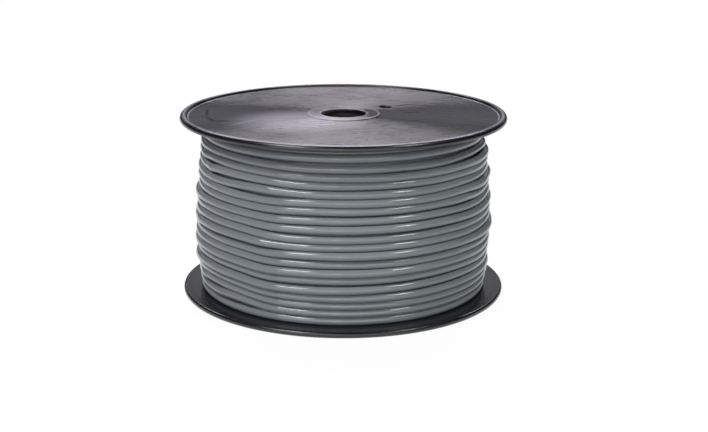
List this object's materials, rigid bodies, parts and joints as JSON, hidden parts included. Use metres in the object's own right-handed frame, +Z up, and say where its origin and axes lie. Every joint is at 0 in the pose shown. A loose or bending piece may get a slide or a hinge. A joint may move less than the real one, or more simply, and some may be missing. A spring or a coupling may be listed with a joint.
{
  "type": "wire spool",
  "caption": "Plastic wire spool with two flat flanges, an arbor bore and a start hole, wound full of insulated stranded wire.",
  "frame": {"origin": "centre of the base, on the plane that the lower rim bead stands on", "axes": "+Z up along the spool's axis; +X and +Y across, with the start hole between +X and +Y"},
  "size_m": [0.14, 0.14, 0.078],
  "materials": {
    "flange_plastic": "black injection-moulded polystyrene, semi-gloss with faint scuffs",
    "tube_plastic": "black extruded polystyrene tube",
    "wire_insulation": "grey extruded PVC, soft gloss",
    "copper": "bare copper strands, cut"
  },
  "bodies": {
    "root": {"bottom_flange": "flange_plastic", "top_flange": "flange_plastic", "barrel": "tube_plastic", "arbor_tube": "tube_plastic", "inner_layers": "wire_insulation", "outer_layer": "wire_insulation", "copper_strands": "copper"}
  },
  "joints": []
}
